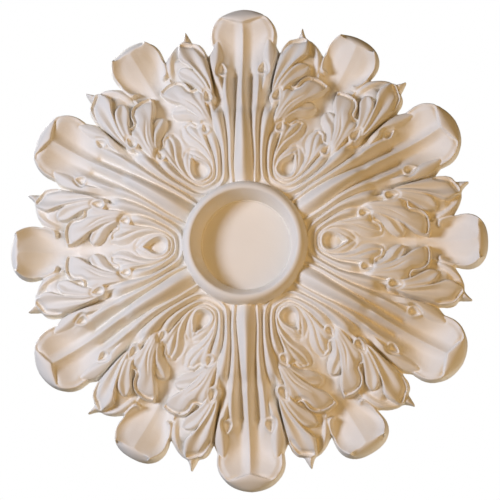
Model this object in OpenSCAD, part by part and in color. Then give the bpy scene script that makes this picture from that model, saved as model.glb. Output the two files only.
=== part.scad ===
// Ceiling rose: one plaster casting with six acanthus leaves round a ring moulding.
// The back lies on the ceiling at z = 0 and the carving faces down, towards -Z.

/* [Overall] */

// Diameter across the tips of the main leaves
rose_d = 610; // [300:5:1200]
// Depth from the ceiling to the highest carving
depth = 68; // [40:1:130]
// Thickness of the casting at its outline
edge_t = 5; // [2:0.5:12]

/* [Centre] */

// Diameter of the flat recessed disc, where a light fitting's cup seats
disc_d = 109; // [60:1:200]
// Thickness of plaster between the disc and the ceiling
disc_t = 30; // [8:1:60]
// Radius of the ring moulding's crest
ring_crest_r = 68; // [45:1:150]
// Width of the ring moulding's rounded outer side
ring_roll_w = 10; // [6:0.5:30]
// Height of the ring's crest above the ceiling
ring_h = 63; // [20:1:120]
// Height of the fine step between disc and hollow
ring_step = 1.6; // [0.5:0.1:4]

/* [Leaf outline] */

// Radius of a main leaf's round lobe
main_lobe_r = 43; // [20:1:90]
// Radius of a secondary leaf's round lobe
sec_lobe_r = 35; // [15:1:80]
// How far the secondary lobes stay inside the main ones
sec_inset = 5; // [0:1:30]
// Radius of the leaf group between the lobes
group_r = 36; // [15:1:70]
// How far the group's body stays inside the main lobes
group_inset = 24; // [5:1:60]
// How far the group's pointed tip stays inside the main lobes
tip_inset = 11; // [2:1:40]
// Radius of the main leaf's side lobes
side_lobe_r = 19; // [8:1:40]

/* [Leaf relief] */

// Height of the leaf field at the ring
field_h = 47; // [15:1:90]
// Height of the ground in the leaf bowls
bowl_h = 13; // [6:1:40]
// Height of the folded lobe tips above the bowls
fold_h = 24; // [5:1:50]
// Height of the main ridge above the leaf field
ridge_h = 17; // [3:0.5:35]
// Half width of the main ridge where it leaves the ring
ridge_w = 12; // [5:0.5:25]
// Height of the pipes above the leaf field
pipe_h = 9; // [2:0.5:20]
// Half width of a pipe
pipe_w = 6; // [2.5:0.5:12]
// Height of the leaf lobes above the field
lobe_h = 13; // [2:0.5:30]
// Depth of the valley on a secondary leaf's axis
valley_h = 17; // [2:0.5:30]
// Depth of the teardrop eye
eye_h = 7; // [1:0.5:15]

/* [Mesh] */

// Steps from the ring to the outline
rows = 24; // [12:1:26]

/* [Hidden] */

plaster = [0.87, 0.82, 0.74];
leaves = 6;
half_a = 180 / leaves;
out_r = rose_d / 2;
// Positions on the face are millimetres on a rose of this radius
face_r = 305;
k = out_r / face_r;
// The leaf field starts inside the ring moulding
in_r = ring_crest_r + ring_roll_w / 3;
ring_out_r = ring_crest_r + ring_roll_w;
smooth = 96;
// Width of the ring's crest inside its highest circle, and how far it falls there
crest_w = 4;
crest_drop = 3;
// How far the ring's outer side reaches below the leaf field
ring_sink = 4;

// Angles of the three pipes from a main leaf's axis, by radius on the face
pipe_1 = [[80, 11.5], [101, 9], [133, 6.4], [158, 5.4], [208, 5.8], [258, 5.1], [305, 6.2]];
pipe_2 = [[80, 15.5], [101, 13], [133, 10.4], [158, 9.9], [183, 11], [208, 10.4], [258, 9.4], [305, 9.2]];
pipe_3 = [[80, 19.5], [101, 16.8], [137, 15.2], [158, 16], [208, 15.5], [258, 12.5], [305, 12.5]];
// Grid lines across half a leaf: [line index, pipe it follows]
lines = 14;
track_i = [0, 3, 5, 7, lines];

function track(n, r) =
    n == 0 ? 0
    : n == 1 ? lookup(r / k, pipe_1)
    : n == 2 ? lookup(r / k, pipe_2)
    : n == 3 ? lookup(r / k, pipe_3)
    : half_a;

function line_a(j, r) =
    let (n = j >= lines ? len(track_i) - 2 : max([for (i = [0:len(track_i) - 2]) j >= track_i[i] ? i : 0]))
    let (f = (j - track_i[n]) / (track_i[n + 1] - track_i[n]))
    track(n, r) * (1 - f) + track(n + 1, r) * f;

// Outline: where a ray at angle a leaves a disc of radius rr centred at [c, ca]
function disc_exit(a, c, ca, rr) =
    let (s = c * sin(a - ca))
    abs(s) < rr ? c * cos(a - ca) + sqrt(rr * rr - s * s) : 0;

// Angle of the leaf group, and how much its body leans towards the secondary leaf
group_a = half_a / 2;
group_lean = 1;
// Side lobes: angle from their leaf's axis and distance from the middle
side_a = 7.3;
side_c = 237;
// Fall of the pointed tip's sides, for each degree
tip_slope = 9;
function outline(a) =
    max(disc_exit(a, out_r - main_lobe_r * k, 0, main_lobe_r * k),
        disc_exit(a, side_c * k, side_a, side_lobe_r * k),
        disc_exit(a, out_r - (group_inset + group_r) * k, group_a + group_lean, group_r * k),
        out_r - tip_inset * k - tip_slope * k * abs(a - group_a),
        disc_exit(a, out_r - (sec_inset + sec_lobe_r) * k, half_a, sec_lobe_r * k),
        disc_exit(a, side_c * k, half_a - side_a, side_lobe_r * k));

// Relief. A stroke is a list of [x, y, half width, height] on the half leaf; heights add up
function bump(t) = t < 1 ? pow(1 - t * t, 2) : 0;
function seg(p, a, b) =
    let (ab = [b[0] - a[0], b[1] - a[1]])
    let (ap = [p[0] - a[0], p[1] - a[1]])
    let (t = min(1, max(0, (ap * ab) / (ab * ab))))
    let (q = [a[0] + ab[0] * t, a[1] + ab[1] * t])
    let (w = a[2] + (b[2] - a[2]) * t)
    [norm([p[0] - q[0], p[1] - q[1]]) / w, a[3] + (b[3] - a[3]) * t];
function nearest(list, i = 0, best = [9, 0]) =
    i >= len(list) ? best
    : nearest(list, i + 1, list[i][0] < best[0] ? list[i] : best);
function stroke(p, s) =
    let (n = nearest([for (i = [0:len(s) - 2]) seg(p, s[i], s[i + 1])]))
    bump(n[0]) * n[1];
function strokes(p, list, i = 0) =
    i >= len(list) ? 0 : stroke(p, list[i]) + strokes(p, list, i + 1);

function polar(r, a) = [r * sin(a), r * cos(a)];
// A point given from the secondary leaf's axis
function from_sec(p) = polar(norm(p), half_a - atan2(p[0], p[1]));
function sec_stroke(s) = [for (q = s) concat(from_sec([q[0], q[1]]), [q[2], q[3]])];
function along(track_list, h) = [for (q = track_list) concat(polar(q[0], q[1]), [pipe_w, h])];

ridge = [
    [0, 84, ridge_w, ridge_h * 0.3],
    [0, 108, ridge_w * 0.95, ridge_h],
    [0, 160, ridge_w * 0.75, ridge_h],
    [0, 215, ridge_w * 0.5, ridge_h * 0.5],
    [0, 285, ridge_w * 0.4, ridge_h * 0.2]
];
shoulder = [[0, 95, 34, 4], [0, 130, 34, 7], [0, 170, 34, 6], [0, 205, 26, 2]];
main_bowl = [[8, 226, 12, -5], [13, 250, 16, -bowl_h * 0.5], [13, 268, 16, -bowl_h * 0.5], [8, 278, 12, -3]];
main_fold = [[0, 288, 14, fold_h], [19, 286, 13, fold_h * 0.8], [33, 276, 12, fold_h * 0.5],
    [39, 255, 10, fold_h * 0.35], [36, 232, 8, fold_h * 0.3]];
eye_main = [[22, 218, 8, lobe_h * 0.6], [24, 232, 8, lobe_h * 0.3]];
group_1 = sec_stroke([[44, 195, 16, 3], [44, 225, 20, lobe_h * 0.4], [52, 255, 22, lobe_h * 0.6]]);
group_tip = [[66, 264, 13, lobe_h * 0.7], [74, 276, 9, lobe_h * 0.5]];
eye_1 = sec_stroke([[55, 176, 9, lobe_h], [44, 212, 12, lobe_h * 0.35]]);
group_2 = sec_stroke([[42, 175, 16, lobe_h * 0.4], [32, 205, 16, lobe_h * 0.7], [12, 222, 12, lobe_h * 0.3]]);
group_2b = sec_stroke([[32, 160, 13, lobe_h * 0.4], [12, 188, 10, lobe_h * 0.3]]);
eye_2 = sec_stroke([[33, 140, 8, lobe_h * 0.6], [24, 150, 8, lobe_h * 0.3]]);
group_3 = sec_stroke([[24, 120, 8, lobe_h * 0.4], [20, 145, 10, lobe_h * 0.5], [7, 162, 8, lobe_h * 0.3]]);
teardrop_rim = sec_stroke([[0, 95, 5, 3], [10, 101, 5, 3], [12, 112, 5, 3], [0, 132, 5, 3]]);
teardrop = sec_stroke([[0, 106, 11, -eye_h], [0, 122, 7, -eye_h * 0.5]]);
valley = sec_stroke([[0, 140, 14, -valley_h * 0.6], [0, 175, 18, -valley_h], [0, 205, 16, -valley_h],
    [0, 228, 12, -valley_h * 0.4]]);
sec_ridge = sec_stroke([[0, 235, 4, 3], [0, 280, 4, 4]]);
sec_bowl = sec_stroke([[10, 236, 11, -4], [12, 262, 14, -bowl_h * 0.5], [8, 272, 12, -3]]);
sec_fold = sec_stroke([[0, 284, 13, fold_h * 0.8], [17, 282, 12, fold_h * 0.7], [28, 272, 10, fold_h * 0.5],
    [30, 250, 8, fold_h * 0.3]]);

relief = [ridge, shoulder, along([for (q = pipe_1) if (q[0] < 250) q], pipe_h),
    along([for (q = pipe_2) if (q[0] < 200) q], pipe_h), along([for (q = pipe_3) if (q[0] < 150) q], pipe_h),
    main_bowl, main_fold, eye_main, group_1, group_tip, eye_1, group_2, group_2b, eye_2, group_3,
    teardrop_rim, teardrop, valley, sec_ridge, sec_bowl, sec_fold];

// The ground falls from the ring to the bowls, and at the very edge to the casting's thickness
bowl_from = 258;
ground = [[80, field_h], [100, field_h + 2], [135, field_h + 2], [155, field_h - 2], [175, field_h * 0.8],
    [bowl_from - 20, bowl_h + 8], [bowl_from, bowl_h + 3], [face_r, bowl_h + 3]];
lip_w = 12;
function lip(r, edge_r) = sqrt(max(0, 1 - pow(1 - min(1, (edge_r - r) / (lip_w * k)), 2)));
// Heights on the face are for a rose this deep
face_depth = 68;
deep = depth / face_depth;
function height(r, a, edge_r) =
    let (h = deep * (lookup(r / k, ground) + strokes(polar(r / k, a), relief)))
    edge_t + max(0, min(depth, h) - edge_t) * lip(r, edge_r);

// One half leaf, computed once: [radius, angle, height]
edge_of = [for (j = [0:lines]) outline(line_a(j, out_r))];
half = [for (i = [0:rows]) [for (j = [0:lines])
    let (r = in_r + (edge_of[j] - in_r) * i / rows)
    let (a = line_a(j, r))
    [r, a, height(r, a, edge_of[j])]]];

around = 2 * lines * leaves;
// Column c round the rose falls on a line of the half leaf, mirrored on every second one
function col_line(c) = let (m = c % (2 * lines)) m <= lines ? m : 2 * lines - m;
function col_angle(c, a) =
    let (leaf = floor(c / (2 * lines)))
    let (m = c % (2 * lines))
    90 - (leaf * 2 * half_a + (m <= lines ? a : 2 * half_a - a));
function at(p, c, z) = [p[0] * cos(col_angle(c, p[1])), p[0] * sin(col_angle(c, p[1])), z];

module leaf_field() {
    face = [for (i = [0:rows]) for (c = [0:around - 1]) let (p = half[i][col_line(c)]) at(p, c, -p[2])];
    back_in = [for (c = [0:around - 1]) at(half[0][col_line(c)], c, 0)];
    back_out = [for (c = [0:around - 1]) at(half[rows][col_line(c)], c, 0)];
    n = around;
    first_in = (rows + 1) * n;
    first_out = first_in + n;
    quads = concat(
        [for (i = [0:rows - 1]) for (c = [0:n - 1])
            [i * n + c, i * n + (c + 1) % n, (i + 1) * n + (c + 1) % n, (i + 1) * n + c]],
        [for (c = [0:n - 1]) [rows * n + c, rows * n + (c + 1) % n, first_out + (c + 1) % n, first_out + c]],
        [for (c = [0:n - 1]) [first_out + c, first_out + (c + 1) % n, first_in + (c + 1) % n, first_in + c]],
        [for (c = [0:n - 1]) [first_in + c, first_in + (c + 1) % n, (c + 1) % n, c]]);
    // Each quad is cut along the diagonal that mirrors from half leaf to half leaf
    function even(q) = floor((q[0] % n) / lines) % 2 == 0;
    faces = [for (q = quads) for (t = even(q) ? [[0, 1, 2], [0, 2, 3]] : [[1, 2, 3], [1, 3, 0]])
        [q[t[0]], q[t[1]], q[t[2]]]];
    polyhedron(points = concat(face, back_in, back_out), faces = faces, convexity = 12);
}

// Ring moulding: flat disc, fine step, hollow, crest, rounded outer side
module ring() {
    disc_r = disc_d / 2;
    hollow_r = disc_r + ring_step;
    hollow_w = ring_crest_r - crest_w - hollow_r;
    hollow_h = ring_h - crest_drop - disc_t - ring_step;
    arc = [for (t = [0:10:90]) t];
    roll_drop = ring_h - field_h * deep + ring_sink;
    rotate_extrude($fn = smooth)
        polygon(concat(
            [[0, 0], [ring_out_r, 0]],
            [for (t = arc) [ring_crest_r + ring_roll_w * cos(t), -(ring_h - roll_drop + roll_drop * sin(t))]],
            [for (t = [10:20:90]) [ring_crest_r - crest_w * sin(t),
                -(ring_h - crest_drop * (1 - cos(t)))]],
            [for (t = arc) [hollow_r + hollow_w * cos(t), -(disc_t + ring_step + hollow_h * (1 - sin(t)))]],
            [[disc_r, -(disc_t + ring_step)], [disc_r, -disc_t], [0, -disc_t]]));
}

module ceiling_rose() {
    color(plaster)
        union() {
            leaf_field();
            ring();
        }
}

ceiling_rose();
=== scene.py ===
import bmesh
import bpy
import numpy as np
from math import radians, sin, cos, pi
from mathutils import Matrix, Vector


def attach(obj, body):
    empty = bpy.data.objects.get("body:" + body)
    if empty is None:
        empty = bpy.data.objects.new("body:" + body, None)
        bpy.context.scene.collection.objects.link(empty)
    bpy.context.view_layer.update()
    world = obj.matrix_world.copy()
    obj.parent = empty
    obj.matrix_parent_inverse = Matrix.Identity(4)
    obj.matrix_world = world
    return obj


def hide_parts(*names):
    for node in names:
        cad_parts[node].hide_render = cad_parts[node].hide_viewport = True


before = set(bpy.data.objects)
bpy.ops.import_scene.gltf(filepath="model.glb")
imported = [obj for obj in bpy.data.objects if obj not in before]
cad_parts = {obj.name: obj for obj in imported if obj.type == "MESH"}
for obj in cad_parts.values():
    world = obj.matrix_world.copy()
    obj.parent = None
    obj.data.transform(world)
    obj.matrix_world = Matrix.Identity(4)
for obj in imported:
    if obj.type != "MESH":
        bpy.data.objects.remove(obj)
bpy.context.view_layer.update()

# The carving is worked out in millimetres on half a leaf, as heights above the ceiling: y runs along the main
# leaf's axis and x to its side, and the secondary leaf's axis is HALF_LEAF away. Mirrored and turned copies
# of it make the rose, which is then turned face down and welded.
MM = 0.001
HALF_LEAF = pi / 6
COPIES = 12
# Radii of the two kinds of leaf at their tips
MAIN_R = 305.0
SEC_R = 300.0
# The relief's grid, the mesh's grid and the triangles kept on half a leaf
RELIEF_STEP = 0.5
MESH_STEP = 0.8
HALF_LEAF_TRIANGLES = 16200
# More than any squared distance on the rose, and two tolerances
FAR_OFF = 1e9
HAIR = 1e-6
TINY = 1e-9


# ---- small tools -----------------------------------------------------------
def curve(points, closed=False, step=10):
    """Catmull-Rom through a few control points, any number of columns."""
    p = np.asarray(points, float)
    n = len(p)
    if closed:
        idx = [((i - 1) % n, i, (i + 1) % n, (i + 2) % n) for i in range(n)]
    else:
        idx = [(max(i - 1, 0), i, i + 1, min(i + 2, n - 1)) for i in range(n - 1)]
    t = np.linspace(0, 1, step, endpoint=False)[:, None]
    out = []
    for a, b, c, d in idx:
        a, b, c, d = p[a], p[b], p[c], p[d]
        out.append(0.5 * (2 * b + (c - a) * t + (2 * a - 5 * b + 4 * c - d) * t ** 2
                          + (3 * b - a - 3 * c + d) * t ** 3))
    out = np.vstack(out)
    return out if closed else np.vstack([out, p[-1]])


def even(line, count):
    """The same line cut into equal lengths."""
    run = np.concatenate([[0], np.cumsum(np.hypot(*np.diff(line[:, :2], axis=0).T))])
    at = np.linspace(0, run[-1], count)
    return np.stack([np.interp(at, run, line[:, k]) for k in range(line.shape[1])], 1)


def smooth(x, lo=0.0, hi=1.0):
    """Rises from 0 at lo to 1 at hi, level at both ends."""
    t = np.clip((x - lo) / (hi - lo), 0, 1)
    return t * t * (3 - 2 * t)


def bump(t):
    """A round hump over -1 to 1."""
    return np.where(np.abs(t) < 1, (1 - np.minimum(np.abs(t), 1) ** 2) ** 2, 0)


def smax(a, b, k):
    """Maximum with its corner rounded over k."""
    h = np.maximum(k - np.abs(a - b), 0) / k
    return np.maximum(a, b) + h * h * k * 0.25


def along(x, y, line, reach):
    """Nearest point of a polyline: signed distance, the columns past x and y there, and share of length."""
    lo, hi = line[:, :2].min(0) - reach, line[:, :2].max(0) + reach
    near = np.flatnonzero((x > lo[0]) & (x < hi[0]) & (y > lo[1]) & (y < hi[1]))
    px, py = x[near], y[near]
    best = np.full(len(near), FAR_OFF)
    side = np.zeros(len(near))
    vals = np.zeros((len(near), line.shape[1] - 2))
    share = np.zeros(len(near))
    seg = np.hypot(*np.diff(line[:, :2], axis=0).T)
    run = np.concatenate([[0], np.cumsum(seg)])
    for i in range(len(line) - 1):
        ax, ay = line[i, :2]
        bx, by = line[i + 1, :2] - line[i, :2]
        ll = bx * bx + by * by
        if ll == 0:
            continue
        t = np.clip(((px - ax) * bx + (py - ay) * by) / ll, 0, 1)
        dx, dy = px - ax - bx * t, py - ay - by * t
        d = np.hypot(dx, dy)
        m = d < best
        best[m] = d[m]
        side[m] = np.sign(bx * dy - by * dx)[m]
        vals[m] = line[i, 2:] + (line[i + 1, 2:] - line[i, 2:]) * t[m][:, None]
        share[m] = (run[i] + seg[i] * t[m]) / run[-1]
    return near, best * side, vals, share


def inside(x, y, ring, reach):
    """Signed distance to a closed outline, positive inside."""
    lo, hi = ring.min(0) - reach, ring.max(0) + reach
    near = np.flatnonzero((x > lo[0]) & (x < hi[0]) & (y > lo[1]) & (y < hi[1]))
    px, py = x[near], y[near]
    best = np.full(len(near), FAR_OFF)
    odd = np.zeros(len(near), bool)
    for (ax, ay), (bx, by) in zip(ring, np.roll(ring, -1, 0)):
        ex, ey = bx - ax, by - ay
        ll = ex * ex + ey * ey
        if ll == 0:
            continue
        t = np.clip(((px - ax) * ex + (py - ay) * ey) / ll, 0, 1)
        best = np.minimum(best, (px - ax - ex * t) ** 2 + (py - ay - ey * t) ** 2)
        if ey != 0:
            odd ^= ((ay > py) != (by > py)) & (px < ax + (py - ay) * ex / ey)
    return near, np.sqrt(best) * np.where(odd, 1, -1)


def to_sec(x, y):
    """The same point from the secondary leaf's axis; the same turn takes it back."""
    c, s = cos(HALF_LEAF), sin(HALF_LEAF)
    return x * -c + y * s, x * s + y * c


def sec(points):
    """Points given from the secondary leaf's axis."""
    out = []
    for p in points:
        u, v = to_sec(p[0], p[1])
        out.append((u, v) + tuple(p[2:]))
    return out


def rose_outline():
    """The casting's edge on half a leaf, from the main leaf's tip to the secondary leaf's."""
    return curve([(-8, 304.5), (0, MAIN_R), (13, 303), (25, 298), (34, 290), (40, 281), (42.5, 271),
                  (42, 261.5), (41.5, 257), (44, 251), (46, 247), (48.5, 250), (52, 257), (58, 262.5),
                  (65.5, 264.5), (69, 270), (74.5, 278), (77, 271), (80, 264.5), (87, 260), (94, 252),
                  (99, 243), (101.5, 241), (104.5, 250), (109, 258), (117, 264.5), (128, 267), (139, 265),
                  (150, 259.8), (158, 254.6)],
                 step=12)


class Relief:
    """Heights h above the ceiling on a square grid over half a leaf: y along the main leaf, x to its side,
    and u and v the same for the secondary leaf."""
    X0, Y0, X1, Y1 = -12.0, 66.0, 166.0, 312.0
    # The ground between the leaves: radius, height
    GROUND = [(75, 42), (85, 42), (95, 43), (110, 44.5), (135, 45), (150, 43), (165, 39), (180, 33.5),
              (195, 28), (210, 22.5), (225, 17), (240, 12), (258, 8), (275, 7), (305, 7)]
    # Half widths past which a rib no longer counts
    RIB_END = 2.2
    # Width over which a lobe's edge meets the ground, half width of its raised rim, and a distance at which
    # the rim no longer counts
    EDGE_W, RIM_W, NOT_NEAR = 0.8, 1.3, 60.0
    # Half width of an eye's rim, its fall to the sides, and the width over which it joins the lobes
    EYE_RIM_W, EYE_RIM_FALL, EYE_RIM_JOIN = 2.3, 4, 2.2

    def __init__(self, step):
        self.step = step
        self.nx = int((self.X1 - self.X0) / step) + 1
        self.ny = int((self.Y1 - self.Y0) / step) + 1
        gy, gx = np.mgrid[0:self.ny, 0:self.nx]
        self.x = (self.X0 + gx * step).ravel()
        self.y = (self.Y0 + gy * step).ravel()
        self.u, self.v = to_sec(self.x, self.y)
        self.h = np.interp(np.hypot(self.x, self.y), *zip(*self.GROUND))

    def pipe(self, points, drop=6.0, k=1.2, power=2.0, fade=(0, 0, 1, 1), reach=14):
        """A rounded rib; columns x, y, half width, height of its crest."""
        near, d, v, s = along(self.x, self.y, curve(points), reach)
        q = np.abs(d) / v[:, 0]
        prof = v[:, 1] - drop * q ** power
        on = smooth(s, fade[0], fade[1] + HAIR) * (1 - smooth(s, fade[2] - HAIR, fade[3]))
        on = on * (q < self.RIB_END)
        old = self.h[near]
        self.h[near] = old + (smax(old, prof, k) - old) * on

    def cut(self, points, fade=(0.12, 0.12)):
        """A rounded groove; columns x, y, half width, depth."""
        near, d, v, s = along(self.x, self.y, curve(points), 14)
        on = smooth(s, -HAIR, fade[0]) * (1 - smooth(s, 1 - fade[1], 1 + HAIR))
        self.h[near] -= bump(d / v[:, 0]) * v[:, 1] * on

    def raster(self, surf):
        """Heights and shares of length of a lofted surface at the grid's points."""
        z = np.full(len(self.x), np.nan)
        t = np.zeros(len(self.x))
        m = surf.shape[1]
        share = np.broadcast_to(np.linspace(0, 1, m)[None, :, None], surf.shape[:2] + (1,))
        g = np.concatenate([surf, share], 2)
        a, b, c, d = g[:-1, :-1], g[1:, :-1], g[1:, 1:], g[:-1, 1:]
        tri = np.concatenate([np.stack([a, b, c], 2).reshape(-1, 3, 4),
                              np.stack([a, c, d], 2).reshape(-1, 3, 4)])
        gx, gy = (tri[:, :, 0] - self.X0) / self.step, (tri[:, :, 1] - self.Y0) / self.step
        x0, y0 = np.ceil(gx.min(1) - TINY).astype(int), np.ceil(gy.min(1) - TINY).astype(int)
        wx, wy = np.floor(gx.max(1)).astype(int) - x0, np.floor(gy.max(1)).astype(int) - y0
        size = (gx[:, 1] - gx[:, 0]) * (gy[:, 2] - gy[:, 0]) - (gx[:, 2] - gx[:, 0]) * (gy[:, 1] - gy[:,
                                                                                                      0])
        size = np.where(np.abs(size) < TINY, TINY, size)
        for dx in range(int(wx.max()) + 1):
            for dy in range(int(wy.max()) + 1):
                px, py = x0 + dx, y0 + dy
                rx, ry = px - gx[:, 0], py - gy[:, 0]
                w1 = (rx * (gy[:, 2] - gy[:, 0]) - (gx[:, 2] - gx[:, 0]) * ry) / size
                w2 = ((gx[:, 1] - gx[:, 0]) * ry - rx * (gy[:, 1] - gy[:, 0])) / size
                ok = (w1 > -HAIR) & (w2 > -HAIR) & (w1 + w2 < 1 + HAIR) & (dx <= wx) & (dy <= wy)
                ok &= (px >= 0) & (py >= 0) & (px < self.nx) & (py < self.ny)
                at = py[ok] * self.nx + px[ok]
                w1, w2, q = w1[ok], w2[ok], tri[ok]
                z[at] = q[:, 0, 2] * (1 - w1 - w2) + q[:, 1, 2] * w1 + q[:, 2, 2] * w2
                t[at] = q[:, 0, 3] * (1 - w1 - w2) + q[:, 1, 3] * w1 + q[:, 2, 3] * w2
        return z, t

    def lobe(self, ribs, root=(0.0, 0.3), roll=1.6, roll_w=1.6, dent=1.5, dent_w=1.8, rim=0.0, scoop=0.0,
             scoop_at=5.0, scoop_w=4.0, rows=30, flutes=0, flute_h=0.0):
        """A leaf lobe lofted across ribs that fan out from its root to its edge; columns x, y, height.
        It comes up out of the ground between two shares of its length, root. Its edge rolls down by roll, and
        the ground beside it is pressed down by dent. Its free end can carry a raised rim with a scoop just
        inside it, and its face can carry flutes."""
        lines = np.stack([even(curve(r, step=8), rows) for r in ribs])
        surf = np.stack([curve(lines[:, j], step=6) for j in range(rows)], 1)
        across, far_on = np.linspace(0, 1, surf.shape[0]), np.linspace(0, 1, surf.shape[1])
        wave = 0.5 - 0.5 * np.cos(2 * pi * flutes * across)
        surf[..., 2] -= flute_h * wave[:, None] * np.sin(pi * far_on ** 0.85)[None, :] ** 0.7
        z, t = self.raster(surf)
        ring = np.vstack([surf[0, :, :2], surf[1:-1, -1, :2], surf[-1, ::-1, :2], surf[-2:0:-1, 0, :2]])
        near, e = inside(self.x, self.y, ring, 6)
        zz, tt = z[near], t[near]
        length = np.hypot(*(surf[len(surf) // 2, -1, :2] - surf[len(surf) // 2, 0, :2]))
        mid = surf[len(surf) // 2, 0, :2]
        away = np.hypot(self.x[near] - mid[0], self.y[near] - mid[1]) / length
        hole = np.isnan(zz)
        zz = np.where(hole, 0, zz)
        inn = np.clip(e, 0, None)
        if rim or scoop:
            far = np.full(len(self.x), self.NOT_NEAR)
            got, d, _, _ = along(self.x, self.y, surf[:, -1], 12)
            far[got] = np.abs(d)
            far = far[near]
            zz = zz + rim * np.exp(-((far - self.RIM_W) / self.RIM_W) ** 2)
            zz = zz - scoop * bump((far - scoop_at) / scoop_w) * smooth(inn, 0.5, 4.0)
        zz = zz - roll * np.clip(1 - inn / roll_w, 0, 1) ** 2
        a = smooth(e, -0.1, self.EDGE_W) * smooth(tt, *root) * (~hole)
        pressed = dent * np.exp(-(np.clip(-e, 0, None) / dent_w) ** 2)
        old = self.h[near] - pressed * smooth(away, 0.25, 0.6) * (e < self.EDGE_W)
        self.h[near] = old + (zz - old) * a

    def eye(self, cx, cy, lean, length, width, rim, floor):
        """A drop-shaped hole inside a thin raised rim, its round end towards the middle of the rose; rim and
        floor are heights at its round and at its pointed end."""
        w = self.EYE_RIM_W
        c, s = cos(radians(lean)), sin(radians(lean))
        half = [(0, -0.5), (-0.42, -0.36), (-0.5, -0.1), (-0.34, 0.2), (0, 0.5)]
        loop = half + [(-a, b) for a, b in reversed(half[1:-1])]
        ring = [(cx + a * width * c + b * length * s, cy - a * width * s + b * length * c, w,
                 rim[0] + (rim[1] - rim[0]) * (b + 0.5)) for a,
                b in loop]
        shape = curve(ring, closed=True, step=8)
        near, e = inside(self.x, self.y, shape[:, :2], 6)
        v = ((self.x[near] - cx) * s + (self.y[near] - cy) * c) / length + 0.5
        old = self.h[near]
        top = rim[0] + (rim[1] - rim[0]) * np.clip(v, 0, 1)
        old = old + (np.minimum(old, top) - old) * smooth(e, -4.5, -1.5)
        deep = floor[0] + (floor[1] - floor[0]) * np.clip(v, 0, 1)
        self.h[near] = old + (deep - old) * smooth(e, 0.2, 2.4)
        got, d, val, _ = along(self.x, self.y, np.vstack([shape, shape[:1]]), 5)
        prof = val[:, 1] - self.EYE_RIM_FALL * (d / val[:, 0]) ** 2
        joined = smax(self.h[got], prof, self.EYE_RIM_JOIN)
        self.h[got] = np.where(np.abs(d) < self.RIB_END * val[:, 0], joined, self.h[got])

    def soften(self, reach):
        """Rounds everything over a small reach, as a casting is, and makes both axes true mirrors."""
        h = self.h.reshape(self.ny, self.nx)
        mid = int(round(-self.X0 / self.step))
        h[:, :mid] = h[:, 2 * mid:mid:-1]
        over = np.flatnonzero((self.u < 0) & (self.u > self.X0))
        mx, my = to_sec(-self.u[over], self.v[over])
        self.h[over] = self.at(mx, my)
        h = self.h.reshape(self.ny, self.nx)
        n = int(np.ceil(reach / self.step * 2.5))
        w = np.exp(-0.5 * (np.arange(-n, n + 1) * self.step / reach) ** 2)
        w /= w.sum()
        p = np.pad(h, n, mode="edge")
        p = sum(w[i] * p[:, i:i + self.nx] for i in range(2 * n + 1))
        p = sum(w[i] * p[i:i + self.ny] for i in range(2 * n + 1))
        self.h = p.ravel().copy()

    def at(self, x, y):
        """Height at any point, between the grid's own."""
        gx = np.clip((x - self.X0) / self.step, 0, self.nx - 1.001)
        gy = np.clip((y - self.Y0) / self.step, 0, self.ny - 1.001)
        i, j = gx.astype(int), gy.astype(int)
        fx, fy = gx - i, gy - j
        h = self.h.reshape(self.ny, self.nx)
        low = h[j, i] * (1 - fx) + h[j, i + 1] * fx
        high = h[j + 1, i] * (1 - fx) + h[j + 1, i + 1] * fx
        return low * (1 - fy) + high * fy


def petal(u, v, floor, vein, vein_w, wall, wall_w, edge):
    """The bowl of a leaf: its floor by distance out, a sharp middle vein and a rising wall at its edge."""
    low = curve(floor)
    mid = curve(vein)
    z = np.interp(v, low[:, 0], low[:, 1])
    z = z + np.interp(v, mid[:, 0], mid[:, 1]) * np.clip(1 - np.sqrt(u * u + 0.6) / vein_w, 0, 1) ** 1.25
    return z + wall * np.clip(1 - edge / wall_w, 0, 1) ** 1.8


# ---- the carving, part by part ---------------------------------------------
def valley(relief):
    """The valley between the leaf groups, on the secondary leaf's axis."""
    relief.cut(sec([(0, 128, 10, 2), (0, 160, 16, 6), (0, 185, 20, 10), (0, 205, 20, 9),
                    (0, 230, 18, 4)]),
               fade=(0.1, 0.1))


def secondary_leaf(relief):
    """The secondary leaf: its bowl, then the folded tip over it."""
    ring = [(0, 301), (12, 299), (22, 294), (30, 285), (34, 274), (34, 262), (31, 250), (28, 242),
            (26, 232), (23, 218), (16, 206), (0, 200)]
    ring = curve(sec(ring + [(-a, b) for a, b in reversed(ring) if a > 0.01]), closed=True, step=8)
    near, e = inside(relief.x, relief.y, ring, 3)
    uu, vv = np.abs(relief.u[near]), relief.v[near]
    floor = [(195, 19), (212, 13), (228, 8.5), (240, 7), (250, 8.5), (260, 12.5), (270, 18), (279, 24),
             (288, 29)]
    vein = [(195, 2), (225, 2), (250, 2), (285, 2)]
    z = petal(uu, vv - 0.016 * uu ** 2, floor, vein, vein_w=7.0, wall=12, wall_w=15,
              edge=np.clip(e, 0, None))
    a = smooth(e, -1, 2) * smooth(vv, 203, 222)
    relief.h[near] += (z - relief.h[near]) * a
    relief.lobe([sec(q) for q in [[(-24, 289.4, 25), (-22, 293.5, 21), (-19.5, 297, 13)],
                                  [(-12, 287.5, 29), (-11, 292.5, 25.5), (-9.5, 300, 12)],
                                  [(-4, 286.2, 30), (-4, 292.5, 26.5), (-3.5, 301, 12)],
                                  [(4, 286.2, 30), (4, 292.5, 26.5), (3.5, 301, 12)],
                                  [(12, 287.5, 29), (11, 292.5, 25.5), (9.5, 300, 12)],
                                  [(24, 289.4, 25), (22, 293.5, 21), (19.5, 297, 13)]]],
                root=(-1, -0.5), roll=1.2, roll_w=1.6, dent=0.4, dent_w=2.0)


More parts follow.
